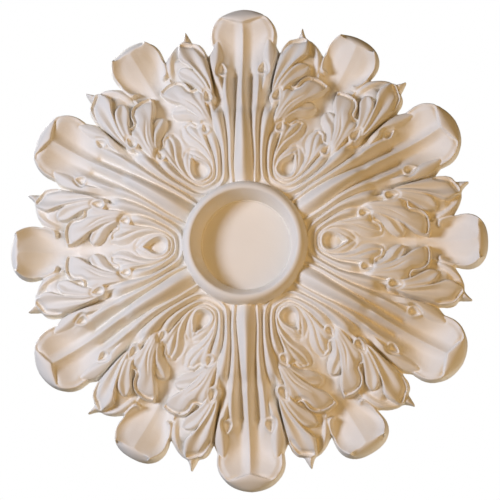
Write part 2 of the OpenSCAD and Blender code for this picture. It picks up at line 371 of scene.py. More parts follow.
def group_1_back(relief):
    """The outer group's pointed tip and the fold behind it."""
    relief.lobe([[(64, 258, 13), (67, 266, 10), (73, 279, 8)],
                 [(74, 258, 20), (75, 267, 17), (74.6, 280, 12)],
                 [(84, 258, 13), (80, 267, 10), (76, 279, 8)]],
                root=(-1, -0.5), roll=0.5, dent=0)
    relief.lobe([[(74, 205, 22), (76, 222, 18), (77, 240, 16), (78, 255, 15), (80, 265, 13)],
                 [(85, 205, 19), (85.5, 222, 14), (86, 238, 13), (86, 251, 13), (84, 264, 11)],
                 [(93, 206, 18), (93, 222, 21.5), (93.5, 235, 22), (92.5, 247, 18.5), (89, 260, 10)],
                 [(99, 208, 14), (98.5, 222, 17), (99.5, 234, 16), (99.8, 242, 12), (96, 252, 7)]],
                root=(0, 0.35), roll=2.5, roll_w=2.0, dent=1.5)


def secondary_edge(relief):
    """The rolled edge of the secondary leaf, ending in a round curl over the back fold."""
    relief.pipe(sec([(21.5, 290.8, 2.4, 25), (26, 286.5, 3.0, 22), (30.6, 277, 3.0, 18.5),
                     (31.6, 264, 2.9, 17.5), (30, 254, 2.8, 19), (27.6, 246.5, 2.7, 21),
                     (24.6, 241.5, 2.7, 22.5), (21.2, 240.5, 2.7, 22), (19.4, 243.5, 2.3, 19.5)]),
                drop=6, k=1.2, fade=(0, 0.05, 0.95, 1))
    relief.cut(sec([(28.5, 238, 2.0, 2.5), (23.5, 236, 2.4, 3), (17.5, 238.5, 2.2, 2)]), fade=(0.2, 0.2))


def drop(relief):
    """The drop on the secondary axis and the small leaf round it."""
    drop_in = [(0, 97.8), (5.8, 99.5), (9.4, 105), (8.8, 112), (5.4, 118), (2.4, 121.5), (1.4, 124),
               (0, 126)]
    ring = curve(sec(drop_in + [(-a, b) for a, b in reversed(drop_in) if a > 0]), closed=True, step=8)
    near, e = inside(relief.x, relief.y, ring, 8)
    ground = 46
    relief.h[near] += (ground - relief.h[near]) * smooth(e, -7, -2)
    towards_tip = smooth(relief.v[near], 113, 121)
    relief.h[near] -= 8 * smooth(e, -0.8, 2.2) + 4 * smooth(e, -0.6, 1.0) * towards_tip
    relief.lobe([[(41.5, 84, 45), (38.9, 90, 46), (39.4, 99, 46), (43, 107.5, 45), (49.5, 114, 44),
                  (57.5, 119.3, 42), (65.5, 121.3, 38)],
                 [(42.3, 85, 45.5), (40.5, 90.5, 47), (41.6, 98, 47.7), (45.5, 105, 47.5),
                  (51.5, 110.5, 47), (59, 115.3, 45), (67, 119, 40)],
                 [(43.5, 86, 45), (42.5, 91, 46.5), (44, 97.5, 46.5), (47.7, 103, 46), (53, 107.5, 45.5),
                  (60, 111.5, 43.5), (67.5, 115.5, 39)]],
                root=(0.0, 0.2), roll=1.0, roll_w=1.2, dent=2.0, dent_w=1.8)
    relief.pipe(sec([(0, 94.8, 2.2, 49), (6.5, 96.3, 2.2, 49), (11.2, 101, 2.2, 49),
                     (12.0, 107.5, 2.2, 48.8), (10, 114.5, 2.1, 48.4), (6.6, 120, 2.0, 48),
                     (4.0, 124.5, 1.8, 47.5), (3.2, 129, 1.6, 46)]),
                drop=4.5, k=0.7, fade=(0, 0, 0.92, 1))


def group_3(relief):
    """The inner group: its trunk, upper lobe and long tongue."""
    relief.pipe(sec([(0, 91.0, 2.4, 47), (5.3, 91.7, 2.5, 47), (10.9, 95.3, 2.5, 47.5)])
                + [(37.6, 97, 2.6, 48.5), (38.6, 106, 2.6, 49.5), (41, 115, 2.8, 49.5),
                   (46, 123.5, 2.8, 48)],
                drop=6, k=1.2, fade=(0, 0, 0.75, 1))
    relief.pipe([(40, 108, 8, 46), (48, 124, 11, 44), (60, 138, 13, 38.5), (70, 147, 12, 33)], drop=8,
                k=3, reach=28, fade=(0, 0.2, 0.9, 1))
    relief.lobe([[(36, 100, 47), (39, 113, 48.5), (43, 126, 49), (46.5, 137, 48.5), (49.5, 145, 47),
                  (49, 152.5, 42)],
                 [(37, 100, 48.5), (40.5, 113, 50.5), (45.5, 126, 51), (50.5, 137, 50), (53.5, 145, 47.5),
                  (54.5, 155, 40)],
                 [(37.5, 100, 48.5), (41.8, 113, 49.5), (47.5, 125.5, 49.5), (52.5, 136, 48),
                  (56.5, 143.5, 44.5), (58.5, 151, 38.5)],
                 [(38, 100, 48.5), (43, 113, 50), (49.5, 125, 50.5), (55.5, 134.5, 49), (61.5, 143, 45.5),
                  (65.5, 155.5, 37)],
                 [(38.5, 100, 48), (44, 112.5, 48.5), (51, 124, 48), (58.5, 133.5, 46), (66, 141.5, 42.5),
                  (74, 153.5, 35)],
                 [(39, 100, 47), (45, 112, 46.5), (52.5, 123.5, 45.5), (60.5, 133, 43), (68.5, 140, 39.5),
                  (78.5, 148, 33)]],
                root=(0.0, 0.35), roll=1.0, roll_w=1.4, dent=1.5, dent_w=2.0, rim=1.6, scoop=2.2,
                scoop_at=4.0, scoop_w=3.2)
    relief.lobe([[(36.6, 95, 47.5), (38.2, 105, 48), (43, 117.5, 47.5), (51, 128, 45.5), (60, 136, 42),
                  (68, 143.5, 38), (72.5, 151, 34)],
                 [(37.6, 95, 49), (39.8, 104.5, 50), (45, 116, 50), (53.5, 126, 48), (63, 133.5, 44.5),
                  (71, 141.5, 40), (74.8, 150, 34.5)],
                 [(38.6, 95, 48), (41.2, 104, 47.8), (47, 114.5, 47), (56, 123.8, 44.5), (65.5, 130, 41),
                  (73, 139, 37), (76.3, 148.5, 32.5)],
                 [(39.5, 95, 46.5), (42.5, 103.5, 45), (49, 113.5, 43), (58, 121.8, 40.5),
                  (68.5, 127, 37.5), (75.5, 136.5, 34), (77.7, 146, 31)]],
                root=(0.0, 0.25), roll=1.0, roll_w=1.4, dent=2.0, dent_w=1.8)


def group_2(relief):
    """The middle group: its trunk, lower lobe, then the wide upper one."""
    relief.pipe(sec([(0, 85.8, 2.5, 46), (6, 86.4, 2.6, 46), (11.6, 88.3, 2.7, 47)])
                + [(32, 90, 3, 49), (31.8, 103, 3.6, 52), (33, 117, 4.4, 54.5), (36, 129, 5.2, 55),
                   (40, 140, 5.6, 53.5), (45, 151, 5.6, 51)],
                drop=7, k=1.5, fade=(0, 0, 0.7, 1))
    relief.pipe([(42, 150, 10, 48), (52, 166, 14, 43.5), (66, 180, 17, 37), (84, 190, 17, 27),
                 (96, 196, 14, 20)],
                drop=8, k=3, reach=36, fade=(0, 0.2, 0.9, 1))
    relief.lobe([[(37.5, 139, 53.5), (42, 151, 52), (48, 162, 48.5), (56, 171.5, 43.5), (65, 177, 38.5),
                  (75, 179.5, 34), (86, 178, 28.5)],
                 [(38.3, 138.5, 54), (43.5, 150, 52.8), (50, 160.5, 50), (58, 169.3, 46.5),
                  (67, 174.3, 42), (76.5, 176.2, 37.5), (89, 175.5, 29.5)],
                 [(39, 138, 54), (45, 149, 51.8), (52, 158.5, 48), (60, 166, 44), (69, 170.3, 39.8),
                  (78.5, 171.5, 34.5), (91, 172, 28.5)],
                 [(39.8, 137.5, 53.8), (46.3, 147.5, 51.5), (54, 156.5, 48.8), (62.5, 163, 45.5),
                  (71, 166, 42), (80.5, 166.8, 37.5), (91.5, 169, 29)],
                 [(40.6, 137, 53), (47.3, 146.3, 49.5), (55, 154.3, 45.5), (63.5, 159.3, 41.8),
                  (72, 161, 38), (81, 162.3, 34), (90.5, 166.5, 27.5)],
                 [(41.5, 136.5, 51.5), (47.5, 144.5, 47), (55, 152, 43), (63.5, 156.6, 39.5),
                  (72, 157.7, 36), (81, 159.3, 32), (89, 164, 26.5)]],
                root=(0.0, 0.3), roll=1.0, roll_w=1.4, dent=2.0, dent_w=2.0)
    relief.lobe([[(32.5, 140, 50), (36.5, 153, 51), (41, 165, 50.5), (45.5, 177, 48.5), (49, 188, 46),
                  (48, 197, 40)],
                 [(34, 139.5, 52.5), (38.5, 152.5, 53.5), (44, 165, 52.5), (50, 177, 49.8),
                  (54.5, 188.5, 46), (56.5, 202, 37.5)],
                 [(35.5, 139, 53.8), (40.3, 152, 53.3), (46.8, 165, 51), (54, 177, 47.5),
                  (60.5, 187.5, 42.5), (65.5, 198.5, 34.5)],
                 [(36.5, 138.5, 54.2), (41.8, 151.3, 54.2), (49, 164, 52.3), (57.5, 176, 49),
                  (66.5, 188.5, 44.5), (74, 208, 32.5)],
                 [(37.3, 138, 54.3), (43, 150.6, 54), (51, 163.2, 51.8), (61, 175, 48.2),
                  (74.5, 188, 42.5), (85, 212, 27.5)],
                 [(38, 137.5, 54.2), (44.2, 150, 53), (52.8, 162.3, 50), (64, 174, 45.5), (80, 185.5, 39),
                  (97.5, 208, 24)],
                 [(38.8, 137, 54), (45.2, 149.3, 53), (54.5, 161.3, 50.8), (66, 172.5, 46.8),
                  (82.5, 182.5, 40), (97, 190.5, 32.5), (107, 200, 21)],
                 [(39.6, 136.5, 53), (46.3, 148.7, 51), (56, 160.4, 47.5), (67.5, 171, 43),
                  (80, 178.8, 37), (91, 183.3, 31.5), (99.5, 189, 26), (107.2, 197.5, 19.5)]],
                root=(0.0, 0.3), roll=1.2, roll_w=1.4, dent=1.8, dent_w=2.0, rim=2.2, scoop=4.6,
                scoop_at=4.6, scoop_w=3.8, flutes=3, flute_h=1.7)
    relief.cut([(46, 160, 1.4, 0.8), (57, 173, 1.8, 1.6), (70, 182, 2.2, 2.0), (85, 191, 3, 1.5)],
               fade=(0.25, 0.4))


def group_1(relief):
    """The outer group: its trunk, then its lower lobe and the upper one over it."""
    relief.pipe(sec([(0, 78, 2.8, 45), (9.6, 78.7, 2.8, 45.5), (17, 81.6, 3, 47)])
                + [(23.8, 88, 3.2, 50), (23.3, 103, 3.7, 54), (23.6, 119, 4.3, 57.5),
                   (25.5, 134, 5.2, 59), (28.5, 149, 6.4, 58), (32.5, 163, 7.2, 55.5), (37, 177, 7.4, 52),
                   (43, 190, 7, 48)],
                drop=8, k=1.5, fade=(0, 0, 0.72, 1))
    relief.pipe([(38, 182, 10, 46), (50, 204, 14, 38), (64, 221, 17, 30), (76, 234, 17, 23.5),
                 (82, 246, 14, 18)],
                drop=8, k=3, reach=36, fade=(0, 0.2, 0.9, 1))
    relief.pipe([(33, 172, 7, 48), (38, 192, 8, 40), (43, 212, 9, 31.5), (46, 230, 9, 23.5),
                 (47, 243, 8, 17)],
                drop=8, k=3, reach=20, fade=(0, 0.2, 0.85, 1))
    relief.lobe([[(33.5, 165, 55), (38, 182, 50.5), (45.5, 200, 44), (54, 214, 38.5), (63, 224.5, 33),
                  (72, 229, 29.5), (81, 228, 25)],
                 [(34.3, 164.7, 55.3), (39.5, 181.3, 51.3), (47.5, 198.5, 46.2), (56.5, 211.5, 41.5),
                  (65, 221.3, 36.5), (73.5, 225.8, 32.5), (82, 227, 26)],
                 [(35.2, 164.4, 55), (41, 180.5, 50), (49.5, 196.5, 44), (59, 208, 38), (68, 216.5, 32.5),
                  (76.5, 221.5, 28), (83, 226, 24)],
                 [(36.2, 164, 54.5), (42.5, 179.5, 50), (51.3, 194.2, 46), (61.3, 203.8, 41),
                  (71, 210, 35), (78.8, 216, 31), (83.5, 224.5, 25)],
                 [(38, 163, 53), (44, 178, 47.5), (52, 191, 42.5), (61.5, 200.8, 37.5), (71, 207, 32),
                  (80.3, 213.5, 28), (85, 223, 23)]],
                root=(0, 0.28), roll=1.2, roll_w=1.4, dent=2.0, flutes=2, flute_h=1.2)
    relief.lobe([[(26.5, 168, 49), (30.5, 186, 44), (36, 205, 38), (42, 223, 31), (46, 238, 25),
                  (48.3, 249, 19)],
                 [(29, 167, 53), (33, 186, 48.5), (39, 205.5, 43.5), (46, 223, 38), (52, 238, 31.5),
                  (56, 250, 25), (58.5, 261.5, 16)],
                 [(31, 166.3, 54.8), (35.5, 186, 47.8), (42.5, 206, 41.5), (51.5, 223, 34.5),
                  (59.5, 237, 28.5), (65.5, 250, 23.5), (69.5, 264, 15)],
                 [(32.3, 166, 55.2), (37, 185, 48.5), (45, 205.5, 42.3), (55, 220.5, 36.3),
                  (64.5, 233.5, 31), (73, 247, 26.5), (77.5, 265, 16)],
                 [(33.3, 165.6, 55.3), (38.3, 184, 50.5), (47, 204, 45), (57.5, 219.5, 39.8),
                  (68, 231.5, 35.5), (77, 240.8, 31.5), (80, 252, 27), (80.5, 265.5, 17)],
                 [(34.3, 165.2, 55), (39.6, 183, 48.5), (48.8, 203.5, 41.5), (59.5, 219.5, 36.5),
                  (70, 231.5, 32.5), (78, 238, 29.5), (82.3, 243.5, 27.5), (83, 253, 24), (82, 265, 15)]],
                root=(0, 0.28), roll=1.2, roll_w=1.4, dent=1.8, dent_w=2.0, rim=2.2, scoop=4.6,
                scoop_at=5.4, scoop_w=4.4, flutes=3, flute_h=1.8)


def stem(relief):
    """The stem of the main leaf: a side rib and the middle one."""
    relief.pipe([(13.6, 66, 3.6, 41), (14.1, 76, 3.4, 46), (14.8, 88, 3.5, 50.5), (15.6, 103, 3.8, 55),
                 (15.3, 118, 4, 58.5), (15, 134, 4.3, 60), (15.6, 149, 4.8, 58.5), (16.8, 164, 5.5, 55),
                 (18.0, 179, 6.4, 50), (18.8, 194, 7.2, 44.5)],
                drop=8, k=2, fade=(0, 0, 0.75, 1))
    relief.pipe([(0, 64, 14.5, 43), (0, 74, 13, 49.5), (0, 84, 11.6, 56), (0, 95, 10.6, 61.5),
                 (0, 108, 9.8, 65.5), (0, 125, 9.2, 67.5), (0, 142, 8.4, 66), (0, 158, 7.6, 61.5),
                 (0, 175, 6.8, 54), (0, 192, 6.2, 45)],
                drop=10, k=2, power=1.6, fade=(0, 0, 0.75, 1))


def spoon(relief):
    """The main leaf's spoon, lofted across ribs from the stem's crest out to the rolled edge, with the vein
    down its middle and the groove beside the vein. Each rib's points are half width and height at the
    distances ys, and a last point beyond them."""
    ys = [160, 172, 186, 200, 211, 219, 226, 234, 243, 253, 262, 270, 277, 284]
    crest = [60.8, 55.5, 48.5, 40.5, 33.8, 29, 25, 21.5, 18.8, 18, 19.3, 21.6, 24.2, 27]
    flank = [(4.8, 55.5), (4.8, 49.5), (4.7, 41.5), (4.6, 33), (4.6, 26), (4.7, 22.6), (4.9, 20.6),
             (5, 17.8), (5, 15), (5, 14), (5, 15.5), (5, 18.2), (5, 21.2), (5, 24.8), (5, 26)]
    groove = [(9.8, 47.5), (10, 41.5), (10, 34.5), (10.2, 27), (10.5, 21.3), (10.8, 18.5), (11, 17.2),
              (11, 14.8), (11, 12), (11, 11), (11, 12.4), (11, 15.2), (11, 18.8), (11, 23.5), (11, 25.6)]
    inner = [(16.3, 55.8), (17.6, 52.5), (19, 47), (19.8, 40.5), (19.8, 34.2), (19.3, 29), (18.6, 24.2),
             (18, 19.3), (17.5, 14.8), (17.5, 12.2), (18, 13.2), (18, 15.9), (17.5, 19.6), (16, 23.8),
             (15, 25)]
    side = [(21.5, 49), (22.6, 45.5), (23.6, 41), (24.3, 36.3), (24, 32), (23.4, 28), (22.8, 24.5),
            (22.5, 20.8), (22.8, 17.2), (23.8, 15), (25, 15.2), (25.4, 17.2), (23.7, 20.4), (20.5, 24),
            (18.5, 25)]
    ledge = [(25, 43), (26.2, 40.5), (27, 37.5), (27.2, 34), (26.6, 31), (26, 28.4), (25.8, 26.2),
             (26.2, 23.2), (27.4, 20.6), (29.4, 18.8), (31.4, 18.4), (31.8, 19.4), (29.8, 21.7),
             (25.8, 24.8), (22, 290, 25.5)]
    flute = [(28, 38), (29, 36), (30.5, 33), (31, 29.8), (31, 27), (31.2, 24.8), (31.5, 22.6),
             (32.4, 20.4), (33.6, 18.8), (35, 17.8), (36.4, 17.6), (36.6, 18.6), (34.8, 20.8),
             (30.6, 23.6), (26, 291.5, 24.5)]
    roll = [(31, 35), (32, 32), (34, 29), (35, 26), (36, 23), (37, 21), (38, 19.5), (39, 18.5),
            (39.5, 18), (39.5, 18.2), (40, 19), (40.3, 20), (38.9, 21.5), (35.2, 23.5), (30.5, 293, 24)]
    lip = [(34, 30), (36, 27), (37, 24), (38, 20), (40, 17), (41.5, 15), (42.5, 14), (43.3, 13),
           (43.5, 13), (43, 14), (43.3, 15), (43.8, 16), (42.3, 17.5), (38.5, 19.5), (33.5, 295.5, 20)]

    def rib(cols, flip=1):
        """The rib's points; one with its own y keeps it."""
        return [(c[0] * flip, c[1] if len(c) == 3 else y, c[-1]) for c, y in zip(cols, ys + [290])]

    relief.lobe([rib(groove, -1), rib(flank, -1), [(0, y, z) for y, z in zip(ys, crest)], rib(flank),
                 rib(groove), rib(inner), rib(side), rib(ledge), rib(flute), rib(roll), rib(lip)],
                root=(0.02, 0.2), roll=0, dent=0, rows=64)
    relief.pipe([(0, 186, 3, 49), (0, 205, 2.8, 38), (0, 222, 2.6, 28), (0, 238, 2.6, 21),
                 (0, 254, 2.6, 18.8), (0, 266, 2.6, 21.2), (0, 276, 2.6, 24.6), (0, 284, 2.6, 27.6)],
                drop=2.6, power=1.2, k=0.8, fade=(0, 0.3, 1, 1))
    relief.cut([(9, 128, 2.8, 0.5), (9.6, 158, 4, 1.2), (9.9, 190, 5.6, 2.4), (9.9, 206, 6.8, 3.6),
                (9.9, 214.5, 7.4, 4.2)],
               fade=(0.3, 0.0))


def side_lobe(relief):
    """The side lobe at the foot of the main leaf's spoon."""
    relief.lobe([[(22, 186, 43), (25, 200, 40.5), (28, 213, 36.5), (29.2, 226, 30), (26.5, 237, 22),
                  (27.7, 249, 18.5), (31.5, 262.5, 18)],
                 [(24.5, 184, 43), (28.5, 200, 41.5), (31.5, 213, 39), (33.5, 226, 34.5), (33, 239, 29),
                  (33, 250, 24), (34, 262, 18.5)],
                 [(26.5, 182.5, 43), (31.5, 199, 40.5), (35.3, 213, 37), (38, 226, 32.5), (39, 238, 27.5),
                  (38.5, 249, 22), (36, 260.5, 17.5)],
                 [(28.5, 181, 42), (34, 199, 37.5), (38.3, 213, 32), (41.5, 226, 27), (43.8, 240, 21),
                  (43.5, 248, 17.5), (38.5, 258.5, 15)]],
                root=(0.0, 0.35), roll=1.2, roll_w=1.6, dent=1.5, dent_w=1.8, flutes=1, flute_h=1.8)


def main_fold(relief):
    """The fold and rolled edge of the main leaf's tip."""
    relief.lobe([[(-28.5, 291, 26), (-27.5, 294.5, 22), (-25, 298.5, 13)],
                 [(-18, 288.2, 28.4), (-17, 294.5, 25), (-16, 302.5, 13)],
                 [(-8, 285.3, 30), (-8, 293.5, 26.5), (-8, 305, 13)],
                 [(0, 282.8, 31), (0, 292.5, 27.5), (0, 306, 13)],
                 [(8, 285.3, 30), (8, 293.5, 26.5), (8, 305, 13)],
                 [(18, 288.2, 28.4), (17, 294.5, 25), (16, 302.5, 13)],
                 [(28.5, 291, 26), (27.5, 294.5, 22), (25, 298.5, 13)]],
                root=(-1, -0.5), roll=2.0, roll_w=1.8, dent=1.6, dent_w=2.4)
    relief.pipe([(25.5, 291.8, 2.2, 26.4), (30.5, 289.8, 2.9, 25), (36.2, 283.5, 3.0, 23.5),
                 (40.0, 272.5, 2.9, 21), (39.6, 263, 2.7, 19.5), (38.2, 257.5, 2.4, 17)],
                drop=6, k=1.8, fade=(0, 0.05, 0.9, 1))


def eyes(relief):
    """The eyes where the lobes part."""
    relief.eye(25.8, 224.0, 8, 16.5, 11.5, (31.4, 25.4), (24, 20))
    relief.eye(43.6, 186.5, 19, 17.5, 11.2, (48.8, 42.3), (42, 36.5))
    relief.eye(46.2, 145.3, 25, 14, 9.6, (50.8, 45.3), (45, 40.5))


def build(step):
    """The whole relief, from the lowest parts to those that lie over them."""
    relief = Relief(step)
    for part in (valley, secondary_leaf, group_1_back, secondary_edge, drop, group_3, group_2,
                 group_1, stem, spoon, side_lobe, main_fold, eyes):
        part(relief)
    relief.soften(0.5)
    return relief


# ---- the casting as one mesh ------------------------------------------------
# The disc's height, and the ring moulding's section: radius, height
DISC_H = 30
RING = [(54.5, 30), (54.7, 31.6), (56.2, 31.6), (57, 36), (58.4, 43), (60.2, 50), (62.3, 55.5),
        (64, 58.6), (65.2, 61.2), (66.4, 62.6), (67.8, 63), (69.6, 62.8), (71.8, 61.6), (74, 59),
        (75.8, 55.2), (77.2, 50), (77.9, 44)]
RING_FOOT_R = 78.1
# Radii of the mesh's rows across the disc and its step, and where they start to be even
DISC_ROWS = [8, 20, 34, 46, 52, 53.6, 54.4, 54.55, 54.75, 55.4, 56.1, 56.3]
HOLLOW_FROM = 57
# Radius where the leaves start, under the ring's outer side, and about how long they are
LEAF_FROM = 75.6
LEAF_LENGTH = 226
# Crowds the rows towards the outline
ROW_CROWD = 1.12
# Thickness at the outline, and the width over which the face rounds down to it
EDGE_T = 5.0
LIP = 3.4
# Points inside this radius, or further than LIP_REACH from the outline, are well clear of the lip
DEEP_R = 200
LIP_REACH = 60
# Corners that close the outline into a ring well outside half a leaf
CLOSING = [(200, 200), (200, 0), (0, -50), (-80, 200)]
# Keeps the mesh a hair inside the part's own outline
SHRINK = 0.9994
# How far the hand-made unevenness moves a point sideways, and where it fades in and out
HAND = 0.9
HAND_FROM = (88, 130)
HAND_TO = (255, 297)
# Points that round to the same multiple of this become one
WELD = 0.004
# Edges sharper than this stay sharp in the shading
SHARP = radians(62)


def ring_height(r):
    """Height of the disc and the ring moulding at a radius, and 0 outside them."""
    rr = np.array([0] + [a for a, b in RING] + [RING_FOOT_R])
    zz = np.array([DISC_H] + [b for a, b in RING] + [0])
    return np.interp(r, rr, zz, right=0)


def outline_columns(step):
    """Radius and angle of even points on the outline, from the main leaf's axis to the secondary leaf's."""
    line = rose_outline()
    ang = np.arctan2(line[:, 0], line[:, 1])
    line = line[(ang > 0) & (ang < HALF_LEAF)]
    rim_main = np.array([[0, MAIN_R]])
    rim_sec = np.array([[sin(HALF_LEAF), cos(HALF_LEAF)]]) * SEC_R
    line = np.vstack([rim_main, line, rim_sec])
    run = np.concatenate([[0], np.cumsum(np.hypot(*np.diff(line, axis=0).T))])
    at = np.linspace(0, run[-1], int(run[-1] / step) + 1)
    ox, oy = np.interp(at, run, line[:, 0]), np.interp(at, run, line[:, 1])
    return np.hypot(ox, oy), np.arctan2(ox, oy)


def edge_fall(x, y):
    """1 on the face, falling to 0 at the outline on a round edge."""
    ring = np.vstack([rose_outline(), CLOSING])
    e = np.full(len(x), float(LIP_REACH))
    near, d = inside(x, y, ring, LIP_REACH)
    deep = np.hypot(x, y) < DEEP_R
    e[near] = np.where(deep[near], LIP_REACH, d)
    e = np.maximum(e, 0)
    return np.sqrt(np.clip(1 - (1 - np.clip(e / LIP, 0, 1)) ** 2, 0, 1))


def half_leaf(relief, step):
    """A body-fitted grid over half a leaf: rows run out from the middle, and the last follows the outline."""
    r_out, a_out = outline_columns(step)
    cols = len(r_out)
    a_in = np.linspace(0, HALF_LEAF, cols)
    inner = np.concatenate([DISC_ROWS, np.arange(HOLLOW_FROM, LEAF_FROM, step)])
    rows = int(LEAF_LENGTH / step)
    t = 1 - (1 - np.linspace(0, 1, rows)) ** ROW_CROWD
    r = LEAF_FROM + (r_out[None, :] - LEAF_FROM) * t[:, None]
    a = a_in[None, :] + (a_out - a_in)[None, :] * smooth(t)[:, None]
    r = np.vstack([np.repeat(inner[:, None], cols, 1), r])
    a = np.vstack([np.repeat(a_in[None, :], len(inner), 0), a])
    x, y = r * np.sin(a), r * np.cos(a)
    z = ring_height(r)
    n_in = len(inner)
    xo, yo = x[n_in:].ravel(), y[n_in:].ravel()
    h = EDGE_T + (relief.at(xo, yo) - EDGE_T) * edge_fall(xo, yo)
    z[n_in:] = np.maximum(h.reshape(rows, cols), z[n_in:])
    # the wall at the outline
    for level in (EDGE_T * 0.5, 0.0):
        x, y = np.vstack([x, x[-1]]), np.vstack([y, y[-1]])
        z = np.vstack([z, np.full(cols, level)])
    return x, y, z


def grid_faces(rows, cols):
    """Four corners of each cell of a grid."""
    i = np.arange(rows - 1)[:, None] * cols + np.arange(cols - 1)[None, :]
    return np.stack([i, i + 1, i + cols + 1, i + cols], -1).reshape(-1, 4)


def decimated(verts, quads, keep):
    """The same surface with about that many triangles, fewest where it is plain."""
    me = bpy.data.meshes.new("half")
    tris = np.vstack([quads[:, [0, 1, 2]], quads[:, [0, 2, 3]]])
    me.from_pydata(verts.tolist(), [], tris.tolist())
    me.update()
    ob = bpy.data.objects.new("half", me)
    bpy.context.scene.collection.objects.link(ob)
    mod = ob.modifiers.new("d", "DECIMATE")
    mod.ratio = keep / len(tris)
    dep = bpy.context.evaluated_depsgraph_get()
    out = bpy.data.meshes.new_from_object(ob.evaluated_get(dep))
    bpy.data.objects.remove(ob)
    co = np.empty(len(out.vertices) * 3)
    out.vertices.foreach_get("co", co)
    out.calc_loop_triangles()
    f = np.empty(len(out.loop_triangles) * 3, int)
    out.loop_triangles.foreach_get("vertices", f)
    bpy.data.meshes.remove(out)
    bpy.data.meshes.remove(me)
    return co.reshape(-1, 3), f.reshape(-1, 3)


def directed_edges(faces):
    """Every triangle's edges, and how many triangles share each."""
    e = np.vstack([faces[:, [0, 1]], faces[:, [1, 2]], faces[:, [2, 0]]])
    _, inv, count = np.unique(np.sort(e, axis=1), axis=0, return_inverse=True, return_counts=True)
    return e, count[inv.ravel()]


def onto_axes(co, faces, reach=0.5):
    """Puts the two straight edges exactly onto the leaf axes, so the copies meet."""
    edges, shared = directed_edges(faces)
    rim = np.unique(edges[shared == 1])
    on_main = rim[np.abs(co[rim, 0]) < reach]
    co[on_main, 0] = 0
    across, out = to_sec(co[:, 0], co[:, 1])
    on_sec = rim[np.abs(across[rim]) < reach]
    co[on_sec, 0] = out[on_sec] * sin(HALF_LEAF)
    co[on_sec, 1] = out[on_sec] * cos(HALF_LEAF)


def turned_copies(co, faces):
    """The whole rose from half a leaf, each second copy a mirror image."""
    all_v, all_f = [], []
    for k in range(COPIES):
        v, f = co.copy(), faces.copy()
        if k % 2:
            v[:, 0] *= -1
            f = f[:, ::-1]
        a = -(k // 2) * 2 * HALF_LEAF
        c, s = cos(a), sin(a)
        all_f.append(f + len(co) * k)
        all_v.append(np.stack([v[:, 0] * c - v[:, 1] * s, v[:, 0] * s + v[:, 1] * c, v[:, 2]], 1))
    return np.vstack(all_v), np.vstack(all_f)


def by_hand(points):
    """Cast from a hand-carved model: no two leaves are quite alike."""
    seed = np.random.default_rng(7).uniform(0, 2 * pi, 6)
    x, y = points[:, 0], points[:, 1]
    r = np.hypot(x, y)
    amount = HAND * smooth(r, *HAND_FROM) * (1 - smooth(r, *HAND_TO))
    dx = np.sin(x / 47 + seed[0]) * np.cos(y / 39 + seed[1]) + 0.6 * np.sin(x / 21 + y / 33 + seed[2])
    dy = np.sin(x / 35 + seed[3]) * np.cos(y / 51 + seed[4]) + 0.6 * np.sin(x / 31 - y / 24 + seed[5])
    points[:, 0] += amount * dx
    points[:, 1] += amount * dy


def welded(points, tris):
    """Points in the same place become one, and triangles that close up go."""
    key = np.round(points / WELD).astype(np.int64)
    _, first, back = np.unique(key, axis=0, return_index=True, return_inverse=True)
    points, tris = points[first], back.ravel()[tris]
    return points, tris[(tris[:, 0] != tris[:, 1]) & (tris[:, 1] != tris[:, 2]) & (tris[:, 2] != tris[:, 0])]


def open_loops(faces):
    """Open edges joined end to end, the longest loop first."""
    edges, shared = directed_edges(faces)
    nxt = {int(a): int(b) for a, b in edges[shared == 1]}
    found = []
    while nxt:
        a, b = next(iter(nxt.items()))
        loop = [a]
        del nxt[a]
        while b in nxt:
            loop.append(b)
            b = nxt.pop(b)
        found.append(loop)
    return sorted(found, key=len, reverse=True)


def rose_object():
    """The closed casting, face down, with its origin at the middle of its back."""
    x, y, z = half_leaf(build(RELIEF_STEP), MESH_STEP)
    verts = np.stack([x.ravel(), y.ravel(), z.ravel()], 1)
    co, faces = decimated(verts, grid_faces(*x.shape), HALF_LEAF_TRIANGLES)
    onto_axes(co, faces)
    co[:, :2] *= SHRINK
    points, tris = turned_copies(co, faces)
    by_hand(points)
    points, tris = welded(points, tris)
    # the outline closes with the flat back, and the innermost row with the middle of the disc
    polys = tris.tolist() + [loop[::-1] for loop in open_loops(tris)[:2]]
    # turning the relief over turns the winding too
    points[:, 2] *= -1
    polys = [p[::-1] for p in polys]
    me = bpy.data.meshes.new("rose")
    me.from_pydata((points * MM).tolist(), [], polys)
    me.update()
    me.validate()
    ob = bpy.data.objects.new("rose", me)
    bpy.context.scene.collection.objects.link(ob)
    bm = bmesh.new()
    bm.from_mesh(me)
    bmesh.ops.triangulate(bm, faces=[f for f in bm.faces if len(f.verts) > 4])
    bmesh.ops.recalc_face_normals(bm, faces=bm.faces)
    bm.to_mesh(me)
    bm.free()
    me.polygons.foreach_set("use_smooth", [True] * len(me.polygons))
    me.set_sharp_from_angle(angle=SHARP)
    return ob


# ---- plaster ------------------------------------------------------------------
CREAM_LOW = (0.83, 0.765, 0.645, 1)
CREAM_HIGH = (0.87, 0.815, 0.70, 1)


def noise(tree, coords, scale, detail):
    """A noise node over the object's own coordinates."""
    n = tree.nodes.new("ShaderNodeTexNoise")
    n.inputs["Scale"].default_value = scale
    n.inputs["Detail"].default_value = detail
    tree.links.new(coords.outputs["Object"], n.inputs["Vector"])
    return n.outputs["Fac"]


